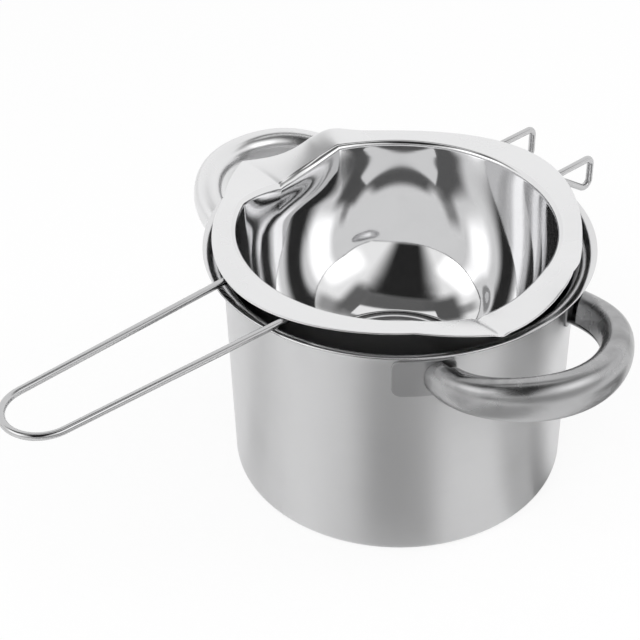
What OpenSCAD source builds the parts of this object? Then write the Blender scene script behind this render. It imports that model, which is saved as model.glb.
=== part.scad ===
// Stainless double boiler: a straight pot with two loop handles, and a loose
// melting bowl that rests on the pot's rim by its wire handle and two wire hooks.
// The origin is the centre of the pot's flat base and +Z is up. The pot's loop
// handles point along +Y and -Y, and the bowl's wire handle points along -X.

/* [Pot] */
// Outside diameter of the pot wall just under the rim
pot_d = 144; // [120:1:180]
// How much narrower the pot is at its base, in diameter
pot_draft = 2; // [0:0.5:6]
// Height from the base to the top of the rim
pot_h = 107.5; // [85:0.5:135]
// Thickness of the pot's sheet
pot_wall = 0.8; // [0.6:0.1:1.5]
// Thickness of the pot's floor
pot_floor = 1.5; // [0.8:0.1:4]
// Outside radius of the corner between wall and base
pot_corner = 4.5; // [3:0.5:12]
// How far the rim flares out past the wall
rim_reach = 8; // [5:0.5:8]
// Radius of the curve that turns the wall out into the rim
rim_curve = 8.8; // [8.2:0.1:16]

/* [Loop handles] */
// Radius of each handle's loop, to the middle of its tube
loop_r = 36.2; // [28:0.5:44]
// How far the middle of the loop lies outside the pot wall, less than 0 is inside it
loop_inset = -1.3; // [-6:0.1:6]
// Depth of the tube at the wall, top to bottom
tube_end_h = 15.2; // [10:0.2:18]
// Depth of the tube at the grip, top to bottom
tube_grip_h = 18.6; // [14:0.2:22]
// Width of the tube at the wall, from inside the loop to outside
tube_end_w = 12.4; // [9:0.2:15]
// Width of the tube at the grip
tube_grip_w = 13.4; // [10:0.2:17]
// Thickness of the sheet that the tube is formed from
tube_wall = 1.2; // [0.8:0.1:2]
// Width of the open seam along the inside of the loop
seam_gap = 1.6; // [1:0.1:3]
// How far the tube's middle lies under the rim, at the wall
handle_drop = 15.3; // [13:0.1:25]
// How far each end's inner top corner is cut back from the wall, to clear the rim
end_notch = 4; // [1:0.5:6]
// How much higher the grip is than the ends
grip_rise = 4.8; // [0:0.1:6]

/* [Handle plates] */
// Width of each welded plate, round the wall
plate_w = 24.8; // [18:0.2:32]
// Height of each plate
plate_h = 17; // [14:0.5:24]
// Thickness of each plate
plate_t = 0.9; // [0.6:0.1:2]
// Radius of the plates' corners
plate_corner = 4; // [1:0.5:7]
// How far the plates reach past the tube's middle, away from the loop
plate_shift = 6.2; // [0:0.2:8]

/* [Melting bowl] */
// Room all round between the bowl's wall and the pot's, when the bowl is centred
bowl_room = 5.4; // [5:0.1:9]
// Inside depth from the flange to the flat bottom
bowl_depth = 70; // [56:1:80]
// Height of the bowl's straight wall under the flange
bowl_straight = 5; // [4.2:0.1:14]
// Radius of the bowl's flat bottom
bowl_base_r = 34.6; // [20:0.1:40]
// Fullness of the bowl's round wall, 2 is a plain ellipse
bowl_power = 2.4; // [2:0.1:3]
// Thickness of the bowl's sheet
bowl_wall = 0.8; // [0.6:0.1:1.5]
// Radius of the bend between wall and flange
flange_bend = 2; // [1.6:0.1:4]
// Width of the flange at the sides, past the inside of the wall
flange_w = 9.3; // [6:0.1:12]
// Extra width of the flange over the handle wires
handle_tab = 4; // [0:0.5:8]
// Extra width of the flange over the hooks
hook_tab = 7; // [0:0.5:9]
// How far the loose bowl lies off the pot's axis, towards the hooks
bowl_shift_x = 2; // [0:0.1:2.5]
// How far the loose bowl lies off the pot's axis, towards the back
bowl_shift_y = 4; // [-4:0.1:4]
// Turn of the loose bowl from square to the pot's handles
bowl_turn = 2.3; // [-6:0.1:6]

/* [Pouring spouts] */
// Angle between the wire handle and the spout at the front
near_spout = 78; // [72:3:105]
// Angle between the wire handle and the spout at the back
far_spout = 81; // [72:3:105]
// How far each spout's tip reaches past the flange
spout_reach = 9.7; // [4:0.1:12]
// How far the bowl's edge is pressed down at the spout
spout_dip_in = 6.5; // [2:0.1:7]
// How far the bowl's edge is drawn in at the spout
spout_draw = 3; // [0:0.1:4]
// How far the tip is pressed down
spout_dip_tip = 1.7; // [0.5:0.1:2]
// How much deeper the long flank's edge is, between the tip and the ridge
flank_dip = 1.6; // [0:0.1:1.8]
// Angle that the spout's short flank takes, on the handle's side
flank_short = 24; // [15:3:30]
// Angle that the spout's long flank takes up to its ridge, on the hooks' side
flank_long = 30; // [24:3:39]
// How fast the front spout's long flank draws in from its tip, 1 is straight
near_flank = 1; // [0.8:0.1:3]
// How fast the back spout's long flank draws in from its tip, 1 is straight
far_flank = 3; // [0.8:0.1:3]
// Height of the raised ridge where the long flank ends
ridge_h = 2.6; // [0:0.1:3]
// How far the flange reaches out at the ridge
ridge_reach = 3; // [0:0.5:8]

/* [Wire parts] */
// Diameter of the wire
wire_d = 3; // [2.4:0.1:4]
// How far the wire handle reaches past the pot's rim
handle_reach = 106; // [80:1:140]
// Space between the middles of the handle's wires at the bowl
handle_gap = 36; // [28:1:44]
// Space between the middles of the handle's wires at the round end
end_gap = 28.8; // [22:0.2:28.8]
// How far the handle's middle lies off the bowl's axis
handle_offset = 0.8; // [-2:0.1:2]
// Space between the two hooks
hook_gap = 34; // [26:1:42]
// How far the hooks' upright legs stand past the pot's rim
hook_reach = 20; // [16:0.5:30]
// Height of the hooks' upright legs, between the wire's middles
hook_drop = 16.5; // [12:0.5:24]
// How far past the pot's rim each hook closes, less than 0 is inside it
hook_close = -0.2; // [-0.2:0.1:4]
// Radius of the bends in the hooks, to the middle of the wire
hook_bend = 3.2; // [2.2:0.1:5]

/* [Fits] */
// Clearance between the loose bowl's wires and the rim they rest on
rest_gap = 0.3; // [0.2:0.05:0.5]
// Clearance between pieces that are welded together
weld_gap = 0.05; // [0.02:0.01:0.1]

/* [Hidden] */

steel = "silver";
bright_steel = "gainsboro";
wire_steel = "lightgray";

// Pot, worked out
pot_r = pot_d / 2;
rim_r = pot_r + rim_reach;
base_r = pot_r - pot_draft / 2;
rim_end = acos(1 - rim_reach / rim_curve);
flare_z = pot_h - (rim_curve + pot_wall) * sin(rim_end);
revolve_fn = 180;
corner_steps = 6;
flare_steps = 9;

// Handles, worked out
tube_z = pot_h - handle_drop;
plate_gap = weld_gap;
seat_gap = plate_gap + plate_t + weld_gap;
seat_r = wall_r(tube_z) + seat_gap;
sleeve_steps = 6;
corner_fn = 32;
loop_x = pot_r + loop_inset;
end_cos = (seat_r * seat_r - loop_x * loop_x - loop_r * loop_r) / (2 * loop_x * loop_r);
end_phi = acos(end_cos);
over_run = 6;
seat_margin = 1;
tube_rings = 34;
tube_sides = 15;
section_power = 2.15;
seam_dir = 205;
grip_phi = 20;
end_az = atan2(loop_r * sin(end_phi), loop_x + loop_r * end_cos);
plate_az = end_az + plate_shift / pot_r * 180 / PI;
cut_margin = 20;

// Bowl, worked out
bowl_r = pot_r - pot_wall - bowl_room - bowl_wall;
flange_z = pot_h + rest_gap + wire_d + weld_gap + bowl_wall;
round_share = 2 / bowl_power;
base_dir = acos(pow(bowl_base_r / bowl_r, 1 / round_share));
bowl_step = 3;
arc_steps = 8;
bend_steps = 3;
flange_steps = 4;
tab_power = 8;
press_fade = 26;
trough_power = 2.2;
trough_end = 0.75;
crease_power = 1.45;
short_power = 1.2;
ridge_width = 14;

// Wires, worked out
wire_r = wire_d / 2;
wire_z = pot_h + rest_gap + wire_r;
wire_sides = 12;
end_steps = 16;
bend_count = 6;
wire_start = sqrt(pow(bowl_r + bowl_wall, 2) - pow(handle_gap / 2 + wire_r, 2));
hook_start = sqrt(pow(bowl_r + bowl_wall, 2) - pow(hook_gap / 2 - wire_r, 2));
weld_back = 1.6;
end_r = end_gap / 2;
end_x = rim_r + handle_reach - wire_r - end_r;
leg_x = wire_start + weld_back;
leg_run = [end_x - leg_x, handle_gap / 2];
splay = acos(end_r / norm(leg_run)) - atan2(leg_run[0], leg_run[1]);

// A smooth step from 0 to 1
function smooth(t) = let (c = max(0, min(1, t))) c * c * (3 - 2 * c);

// A ramp from 0 to 1 along a power curve
function ramp(t, power) = pow(max(0, min(1, t)), power);

// Points of an arc round a centre
function arc(cx, cz, r, from, to, steps) =
  [for (i = [0:steps]) let (a = from + (to - from) * i / steps) [cx + r * cos(a), cz + r * sin(a)]];

// Outside radius of the pot's straight wall at a height
function wall_r(z) = base_r + (pot_r - base_r) * z / flare_z;

// Radius of the pot's outside at a height, a gap away from it, also where the flare starts
function skin_r(z, gap) =
  z < flare_z
  ? wall_r(z) + gap
  : pot_r + rim_curve - sqrt(pow(rim_curve - gap, 2) - pow(z - flare_z, 2));

// Outline of the pot's outside between two heights, a gap away from it
function skin(low, high, gap) =
  [for (i = [0:sleeve_steps]) let (z = low + (high - low) * i / sleeve_steps) [skin_r(z, gap), z]];

// Pot: outline of the revolved sheet, from the base's centre, up the outside and down the inside
function pot_outline() = concat(
  [[0, 0]],
  arc(base_r - pot_corner, pot_corner, pot_corner, -90, 0, corner_steps),
  arc(pot_r + rim_curve, flare_z, rim_curve, 180, 180 - rim_end, flare_steps),
  arc(pot_r + rim_curve, flare_z, rim_curve + pot_wall, 180 - rim_end, 180, flare_steps),
  arc(base_r - pot_corner, pot_corner + pot_floor - pot_wall, pot_corner - pot_wall, 0, -90, corner_steps),
  [[0, pot_floor]]
);

module pot_body() {
  color(steel)
    rotate_extrude($fn = revolve_fn)
      polygon(pot_outline());
}

// Loop handle: share of the way from the wall to the grip
function grip_share(phi) = smooth((end_phi - abs(phi)) / (end_phi - grip_phi));

// Middle of the tube at an angle round the loop
function tube_middle(phi) = [
  loop_x + loop_r * cos(phi),
  loop_r * sin(phi),
  tube_z + grip_rise * smooth((cos(phi) - end_cos) / (1 - end_cos))
];

// One point of the tube's section, at a direction round it and a wall's depth below its skin
function section_point(phi, dir, depth) =
  let (
    share = grip_share(phi),
    half_w = (tube_end_w + (tube_grip_w - tube_end_w) * share) / 2 - depth,
    half_h = (tube_end_h + (tube_grip_h - tube_end_h) * share) / 2 - depth,
    flat = 2 / section_power,
    out = half_w * sign(cos(dir)) * pow(abs(cos(dir)), flat),
    up = half_h * sign(sin(dir)) * pow(abs(sin(dir)), flat),
    middle = tube_middle(phi)
  )
  [middle[0] + out * cos(phi), middle[1] + out * sin(phi), middle[2] + up];

// Directions round the open section, from one lip of the seam to the other
function seam_half(phi) = asin(seam_gap / (tube_grip_h + tube_grip_w) * 2);
function section_dirs(phi) =
  let (h = seam_half(phi), span = 360 - 2 * h)
  [for (i = [0:tube_sides]) seam_dir + h + span * i / tube_sides];

// Closed ring of the formed sheet: its outside one way and its inside back again
function sheet_ring(phi) = concat(
  [for (d = section_dirs(phi)) section_point(phi, d, 0)],
  [for (i = [tube_sides:-1:0]) section_point(phi, section_dirs(phi)[i], tube_wall)]
);

// Faces of a run of equal rings, closed at both ends
function run_faces(rings, n) = concat(
  [for (r = [0:rings - 2]) for (i = [0:n - 1])
    let (j = (i + 1) % n) [r * n + i, r * n + j, (r + 1) * n + j]],
  [for (r = [0:rings - 2]) for (i = [0:n - 1])
    let (j = (i + 1) % n) [r * n + i, (r + 1) * n + j, (r + 1) * n + i]],
  strip_cap(0, n, false),
  strip_cap((rings - 1) * n, n, true)
);

// End cap of an open section: a strip between its outer and inner rows
function strip_cap(first, n, flip) =
  let (half = n / 2)
  [for (i = [0:half - 2]) for (k = [0, 1])
    let (
      a = first + i, b = first + i + 1, c = first + n - 2 - i, d = first + n - 1 - i,
      t = k == 0 ? [a, c, b] : [a, d, c]
    )
    flip ? [t[2], t[1], t[0]] : t];

module loop_tube() {
  reach = end_phi + over_run;
  rings = [for (i = [0:tube_rings - 1]) -reach + 2 * reach * i / (tube_rings - 1)];
  n = 2 * (tube_sides + 1);
  polyhedron(
    points = [for (phi = rings) each sheet_ring(phi)],
    faces = run_faces(tube_rings, n),
    convexity = 8
  );
}

// Solid that fills the pot out to where the handles' ends sit
module seat_core() {
  low = tube_z - plate_h;
  high = tube_z + tube_end_h / 2 + seat_margin;
  rotate_extrude($fn = revolve_fn)
    polygon(concat([[0, low]], skin(low, high, seat_gap), [[0, high]]));
}

// Blocks that cut back the inner top corner of the tube's two ends
module notch_blocks() {
  depth = end_notch + over_run;
  for (side = [0, 1])
    mirror([0, side, 0])
      rotate([0, 0, end_az])
        translate([seat_r - over_run, -tube_end_w, tube_z - seat_margin])
          cube([depth, tube_end_w, plate_h]);
}

// Loop handle, cut where it meets its plates
module loop_handle(az) {
  color(bright_steel)
    rotate([0, 0, az])
      difference() {
        loop_tube();
        seat_core();
        notch_blocks();
      }
}

module front_handle() {
  loop_handle(-90);
}

module back_handle() {
  loop_handle(90);
}

// Sleeve of the plates' thickness, pressed to the pot's wall and the start of its flare
module plate_sleeve() {
  low = tube_z - plate_h / 2;
  high = tube_z + plate_h / 2;
  inside = skin(low, high, plate_gap);
  outside = skin(low, high, plate_gap + plate_t);
  rotate_extrude($fn = revolve_fn)
    polygon(concat(outside, [for (i = [sleeve_steps:-1:0]) inside[i]]));
}

// Welded plate: a piece of the sleeve, with rounded corners
module handle_plate(az) {
  half_w = plate_w / 2 - plate_corner;
  half_h = plate_h / 2 - plate_corner;
  color(steel)
    rotate([0, 0, az])
      intersection() {
        plate_sleeve();
        translate([pot_r - cut_margin / 2, 0, tube_z])
          rotate([90, 0, 90])
            plate_blank(half_w, half_h);
      }
}

// Block with the plate's outline, thick enough to cut it out of the ring
module plate_blank(half_w, half_h) {
  linear_extrude(height = cut_margin)
    union() {
      square([2 * half_w, plate_h], center = true);
      square([plate_w, 2 * half_h], center = true);
      for (x = [-half_w, half_w], y = [-half_h, half_h])
        translate([x, y])
          circle(r = plate_corner, $fn = corner_fn);
    }
}

module front_left_plate() {
  handle_plate(-90 - plate_az);
}

module front_right_plate() {
  handle_plate(-90 + plate_az);
}

module back_left_plate() {
  handle_plate(90 + plate_az);
}

module back_right_plate() {
  handle_plate(90 - plate_az);
}

// Puts a piece of the loose bowl where the bowl lies
module on_bowl() {
  translate([bowl_shift_x, bowl_shift_y, 0])
    rotate([0, 0, bowl_turn])
      children();
}

// Bowl: angle from the nearer spout's crease, more than 0 towards the hooks
function from_spout(a) = a > 180 ? a - 180 - near_spout : 180 - far_spout - a;

// How much of the bowl's edge is pressed round the spout, 1 at its crease
function dip_share(a) =
  let (d = from_spout(a))
  d < 0 ? ramp(1 + d / flank_short, 1) : 1 - ramp(d / flank_long, trough_power);

// Share of the spout's reach round the bowl, 1 at its tip
function tip_share(a) =
  let (d = from_spout(a))
  d < 0 ? ramp(1 + d / flank_short, short_power)
  : ramp(1 - d / flank_long, a > 180 ? near_flank : far_flank);

// How far the flange's outer edge is pressed down round the spout
function edge_dip(a) =
  let (d = from_spout(a), t = d / (flank_long * trough_end))
  d < 0 ? spout_dip_tip * ramp(1 + d / flank_short, 1)
  : t < 1 ? spout_dip_tip * (1 - t) + flank_dip * sin(180 * t)
  : 0;

// Bump round the place where the long flank meets the flange, 1 at its middle
function ridge_share(a, spread) = exp(-pow((from_spout(a) - flank_long) / spread, 2));

// Outer radius of the flange at an angle round the bowl
function flange_r(a) =
  bowl_r + flange_w
  + (cos(a) > 0 ? hook_tab : handle_tab) * pow(abs(cos(a)), tab_power)
  + spout_reach * tip_share(a)
  + ridge_reach * ridge_share(a, ridge_width);

// Where a point of the plain bowl lies once the spouts are pressed
function pressed(a, r, z) =
  let (
    t = max(0, min(1, (r - bowl_r) / (flange_r(a) - bowl_r))),
    fade = smooth(1 + z / press_fade),
    dip = pow(1 - t, crease_power) * spout_dip_in * dip_share(a) + t * edge_dip(a),
    lift = t * ridge_h * ridge_share(a, ridge_width / 2),
    inward = (1 - t) * spout_draw * dip_share(a)
  )
  [r - fade * inward, z + fade * (lift - dip)];

// Section of the bowl's round wall, from the flat bottom up, a sheet's depth outside it
function round_wall(depth) =
  let (half_h = (bowl_depth + depth - bowl_straight) / pow(sin(base_dir), round_share))
  [for (p = arc(0, 0, 1, -base_dir, 0, arc_steps))
    [(bowl_r + depth) * pow(p[0], round_share), -half_h * pow(-p[1], round_share) - bowl_straight]];

// Section of the plain bowl: its inside going up and out to the flange's edge
function inside_rows(a) = concat(
  round_wall(0),
  [for (p = arc(bowl_r + flange_bend, -flange_bend, flange_bend, 180, 90, bend_steps)) p],
  [for (i = [1:flange_steps])
    [bowl_r + flange_bend + (flange_r(a) - bowl_r - flange_bend) * i / flange_steps, 0]]
);

// The underside, coming back in from the flange's edge and down
function outside_rows(a) =
  let (bend = flange_bend - bowl_wall, wall = round_wall(bowl_wall))
  concat(
    [for (i = [flange_steps:-1:1])
      [bowl_r + flange_bend + (flange_r(a) - bowl_r - flange_bend) * i / flange_steps, -bowl_wall]],
    [for (p = arc(bowl_r + flange_bend, -flange_bend, bend, 90, 180, bend_steps)) p],
    [for (i = [arc_steps:-1:0]) wall[i]]
  );

function bowl_rows(a) = concat(inside_rows(a), outside_rows(a));

function bowl_point(a, p) = let (q = pressed(a, p[0], p[1])) [q[0] * cos(a), q[0] * sin(a), q[1]];

module bowl_shell() {
  angles = [for (a = [0:bowl_step:360 - bowl_step]) a];
  rows = len(bowl_rows(0));
  columns = len(angles);
  body = [for (a = angles) each [for (p = bowl_rows(a)) bowl_point(a, p)]];
  last = columns * rows;
  points = concat(body, [[0, 0, -bowl_depth], [0, 0, -bowl_depth - bowl_wall]]);
  sides = [for (c = [0:columns - 1]) for (k = [0:rows - 2]) for (half = [0, 1])
    let (n = (c + 1) % columns, p = c * rows + k, q = n * rows + k)
    half == 0 ? [p, q + 1, p + 1] : [p, q, q + 1]];
  floor_top = [for (c = [0:columns - 1]) [last, (c + 1) % columns * rows, c * rows]];
  floor_under = [for (c = [0:columns - 1])
    [last + 1, c * rows + rows - 1, (c + 1) % columns * rows + rows - 1]];
  polyhedron(points = points, faces = concat(sides, floor_top, floor_under), convexity = 8);
}

module melting_bowl() {
  color(bright_steel)
    on_bowl()
      translate([0, 0, flange_z])
        bowl_shell();
}

// Points of the bend that rounds corner b of a path a, b, c in a plane
function bend_points(a, b, c, r, steps) =
  let (
    u = (a - b) / norm(a - b),
    v = (c - b) / norm(c - b),
    half = acos(u * v) / 2,
    middle = b + (u + v) / norm(u + v) * r / sin(half),
    from = b + u * r / tan(half) - middle,
    to = b + v * r / tan(half) - middle,
    sweep = 180 - 2 * half
  )
  [for (i = [0:steps]) let (t = i / steps)
    middle + (sin((1 - t) * sweep) * from + sin(t * sweep) * to) / sin(sweep)];

// Direction of a path at one of its points
function heading(path, i) =
  let (d = path[min(i + 1, len(path) - 1)] - path[max(i - 1, 0)])
  d / norm(d);

// Round wire along a path in the XY plane
module wire(path) {
  n = wire_sides;
  rings = len(path);
  points = [for (i = [0:rings - 1]) for (k = [0:n - 1])
    let (
      h = heading(path, i),
      side = wire_r * cos(360 * k / n),
      up = wire_r * sin(360 * k / n)
    )
    [path[i][0] - h[1] * side, path[i][1] + h[0] * side, up]];
  sides = [for (i = [0:rings - 2]) for (k = [0:n - 1]) for (half = [0, 1])
    let (p = i * n + k, q = i * n + (k + 1) % n)
    half == 0 ? [p, q + n, q] : [p, p + n, q + n]];
  ends = [
    [for (k = [0:n - 1]) k],
    [for (k = [n - 1:-1:0]) (rings - 1) * n + k]
  ];
  polyhedron(points = points, faces = concat(sides, ends), convexity = 6);
}

module wire_handle() {
  leg = [-leg_x, handle_gap / 2];
  turn_in = [for (i = [0:end_steps])
    let (a = 90 + splay + (180 - 2 * splay) * i / end_steps)
    [-end_x + end_r * cos(a), end_r * sin(a)]];
  color(wire_steel)
    on_bowl()
      translate([0, handle_offset, wire_z])
        wire(concat([leg], turn_in, [[leg[0], -leg[1]]]));
}

// Hook: a closed triangle of wire, in an upright plane along the bowl's axis
module hook() {
  start = [hook_start + weld_back, 0];
  top = [rim_r + hook_reach, 0];
  foot = [rim_r + hook_reach, -hook_drop];
  close = [rim_r + hook_close, -wire_d - weld_gap];
  path = concat(
    [start],
    bend_points(start, top, foot, hook_bend, bend_count),
    bend_points(top, foot, close, hook_bend, bend_count),
    [close]
  );
  rotate([90, 0, 0])
    wire(path);
}

module placed_hook(side) {
  color(wire_steel)
    on_bowl()
      translate([0, side * hook_gap / 2, wire_z])
        hook();
}

module near_hook() {
  placed_hook(-1);
}

module far_hook() {
  placed_hook(1);
}

pot_body();
front_handle();
back_handle();
front_left_plate();
front_right_plate();
back_left_plate();
back_right_plate();
melting_bowl();
wire_handle();
near_hook();
far_hook();
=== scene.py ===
"""Looks of a stainless double boiler: a pot with two loop handles and a loose melting bowl on its rim.

Sizes of the object are in millimetres in the pot's own frame, and become metres where a mesh is made. The
studio's places are in metres. Angles are in degrees, and those round the Z axis are 0 along +X, 90 along +Y.
"""

from __future__ import annotations

import logging
import math
from collections.abc import Sequence
from dataclasses import dataclass, field
from enum import Enum
from functools import cache

import bmesh
import bpy
import numpy as np
from bpy.types import Material, Node, NodeSocket, NodeTree, Object
from mathutils import Matrix, Vector


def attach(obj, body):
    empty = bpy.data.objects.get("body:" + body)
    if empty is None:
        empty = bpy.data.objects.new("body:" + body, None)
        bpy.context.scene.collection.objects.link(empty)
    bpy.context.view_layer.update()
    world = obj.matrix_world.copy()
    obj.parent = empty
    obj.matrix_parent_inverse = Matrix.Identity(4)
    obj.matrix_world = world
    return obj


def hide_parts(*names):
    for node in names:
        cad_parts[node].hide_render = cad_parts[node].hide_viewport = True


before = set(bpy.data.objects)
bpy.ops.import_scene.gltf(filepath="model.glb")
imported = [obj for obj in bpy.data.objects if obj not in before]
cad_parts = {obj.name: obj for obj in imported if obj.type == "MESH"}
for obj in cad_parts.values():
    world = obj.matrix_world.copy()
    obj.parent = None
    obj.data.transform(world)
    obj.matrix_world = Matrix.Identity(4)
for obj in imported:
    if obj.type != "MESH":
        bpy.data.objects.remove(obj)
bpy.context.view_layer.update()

LOG = logging.getLogger("double_boiler")
MM = 0.001
MERGE_LIMIT = 1e-7
CRISP_ANGLE = 50.0
SOFT_ANGLE = 40.0
ROUND_SEGMENTS = 3
WRAP_GUARD = 0.1
LINE_ROUGHNESS = 0.12
BUMP_DISTANCE = 0.00002
BUMP_STRENGTH = 0.5

Point = tuple[float, float]
Array = np.ndarray
Inputs = dict[str | int, object]


# ---- small maths


def smooth(value: Array | float) -> Array | float:
    """Smooth step from 0 to 1."""
    c = np.clip(value, 0.0, 1.0)
    return c * c * (3.0 - 2.0 * c)


def ramp(value: Array, power: float) -> Array:
    """Ramp from 0 to 1 along a power curve."""
    return np.clip(value, 0.0, 1.0) ** power


def arc(cx: float, cz: float, radius: float, start: float, end: float, steps: int) -> list[Point]:
    """Points of an arc round a centre, in steps between two angles, both ends included."""
    turns = np.radians(np.linspace(start, end, steps + 1))
    return [(cx + radius * math.cos(a), cz + radius * math.sin(a)) for a in turns]


def line(start: Point, end: Point, steps: int) -> list[Point]:
    """Points along a straight line, without its first point."""
    shares = [i / steps for i in range(1, steps + 1)]
    return [(start[0] + (end[0] - start[0]) * s, start[1] + (end[1] - start[1]) * s) for s in shares]


# ---- modelling


class Workpiece:
    """One mesh under work in edit mode, shaped by Blender's own operators."""

    def __init__(self, name: str) -> None:
        """Takes the primitive just added, puts its place in its mesh and opens it.

        Args:
            name: Name of the finished piece.
        """
        self.obj = bpy.context.active_object
        self.obj.name = name
        self.obj.data.name = name
        bpy.ops.object.transform_apply(location=True, rotation=True, scale=True)
        bpy.ops.object.mode_set(mode="EDIT")

    @classmethod
    def revolved(cls, name: str, sides: int, outline: Sequence[Point]) -> Object:
        """Turns a closed outline into a revolved sheet, ring by ring.

        Args:
            name: Name of the finished piece.
            sides: Number of corners of a ring.
            outline: Points of radius and height. A disc fills the first, and the last closes to its centre.

        Returns:
            The mesh object.
        """
        deselect_objects()
        radius, height = outline[0]
        bpy.ops.mesh.primitive_circle_add(
            vertices=sides, radius=radius * MM, location=(0, 0, height * MM), fill_type="TRIFAN"
        )
        piece = cls(name)
        bpy.ops.mesh.region_to_loop()
        for (r0, z0), (r1, z1) in zip(outline, outline[1:]):
            piece.extrude((0, 0, z1 - z0))
            bpy.ops.transform.resize(value=(r1 / r0, r1 / r0, 1), center_override=(0, 0, 0))
        bpy.ops.mesh.merge(type="CENTER")
        return piece.finish()

    @classmethod
    def hoop(
        cls, name: str, sides: int, radius: float, centre: Sequence[float], turn: Sequence[float]
    ) -> Workpiece:
        """Starts from an open ring of edges.

        Args:
            name: Name of the finished piece.
            sides: Number of corners.
            radius: Radius of the ring.
            centre: Middle of the ring.
            turn: Its Euler angles, in radians.

        Returns:
            The workpiece.
        """
        deselect_objects()
        bpy.ops.mesh.primitive_circle_add(
            vertices=sides, radius=radius * MM, location=[c * MM for c in centre], rotation=turn
        )
        return cls(name)

    def extrude(self, move: Sequence[float]) -> None:
        """Extrudes what is selected by a move."""
        bpy.ops.mesh.extrude_region_move(TRANSFORM_OT_translate={"value": [m * MM for m in move]})

    def spin(self, angle: float, centre: Sequence[float], axis: Sequence[float], steps: int) -> None:
        """Spins what is selected round an axis, counter-clockwise seen against it, in new rings."""
        bpy.ops.mesh.spin(
            steps=steps, angle=-math.radians(angle), center=[c * MM for c in centre], axis=axis
        )

    def finish(self) -> Object:
        """Merges doubles, turns the faces outwards and leaves edit mode.

        Returns:
            The mesh object.
        """
        bpy.ops.mesh.select_all(action="SELECT")
        bpy.ops.mesh.remove_doubles(threshold=MERGE_LIMIT)
        bpy.ops.mesh.normals_make_consistent(inside=False)
        bpy.ops.object.mode_set(mode="OBJECT")
        return self.obj


def deselect_objects() -> None:
    """Leaves edit mode and deselects every object, the CAD nodes among them."""
    if bpy.context.mode != "OBJECT":
        bpy.ops.object.mode_set(mode="OBJECT")
    bpy.ops.object.select_all(action="DESELECT")


def activate(obj: Object) -> None:
    """Makes one object the only selected and the active one."""
    deselect_objects()
    obj.select_set(True)
    bpy.context.view_layer.objects.active = obj


def rows_of(items: bpy.types.bpy_prop_collection, key: str) -> Array:
    """Reads the places of a mesh's vertices or faces.

    Args:
        items: The vertices or faces.
        key: Name of the place that they hold.

    Returns:
        Places in millimetres, one row each.
    """
    flat = np.zeros(len(items) * 3)
    items.foreach_get(key, flat)
    return flat.reshape(-1, 3) / MM


def points_of(obj: Object) -> Array:
    """Vertices of a mesh in millimetres, one row each."""
    return rows_of(obj.data.vertices, "co")


def radii_of(obj: Object) -> Array:
    """Distance of each face's middle from the Z axis, in millimetres."""
    return np.hypot(*rows_of(obj.data.polygons, "center")[:, :2].T)


def place_points(obj: Object, points: Array) -> None:
    """Moves the vertices of a mesh to new places, in millimetres."""
    obj.data.vertices.foreach_set("co", (points * MM).ravel())
    obj.data.update()


def apply_modifier(obj: Object, kind: str, **settings: object) -> None:
    """Adds a modifier with its settings and applies it.

    Args:
        obj: Piece to change.
        kind: Blender's name for the modifier.
        settings: Properties of the modifier.
    """
    activate(obj)
    modifier = obj.modifiers.new(kind.title(), kind)
    for key, value in settings.items():
        setattr(modifier, key, value)
    bpy.ops.object.modifier_apply(modifier=modifier.name)


def smooth_shading(obj: Object, angle: float = CRISP_ANGLE) -> None:
    """Shades a piece smooth, with edges sharper than an angle left sharp."""
    activate(obj)
    bpy.ops.object.shade_smooth_by_angle(angle=math.radians(angle))


def round_edges(obj: Object, width: float, angle: float = CRISP_ANGLE) -> None:
    """Rounds a piece's edges where the faces turn by more than an angle, to a width."""
    limit = {"limit_method": "ANGLE", "angle_limit": math.radians(angle)}
    apply_modifier(obj, "BEVEL", width=width * MM, segments=ROUND_SEGMENTS, **limit)


def twin(obj: Object, name: str, matrix: Matrix) -> Object:
    """Copies a piece with its own mesh, moved by a matrix.

    Args:
        obj: Piece to copy.
        name: Name of the copy.
        matrix: How the copy's mesh is moved.

    Returns:
        The copy.
    """
    activate(obj)
    bpy.ops.object.duplicate(linked=False)
    copy = bpy.context.active_object
    copy.name = name
    copy.data.name = name
    copy.data.transform(matrix)
    return copy


def mount(obj: Object, body: str, node: str) -> None:
    """Puts a finished piece on its CAD body, in the place of its CAD node, and logs it.

    Args:
        obj: The finished piece.
        body: CAD body that it moves with.
        node: CAD node that it stands for.
    """
    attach(obj, body)
    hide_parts(node)
    LOG.info("%s: %d faces", obj.name, len(obj.data.polygons))


# ---- finishes


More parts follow.
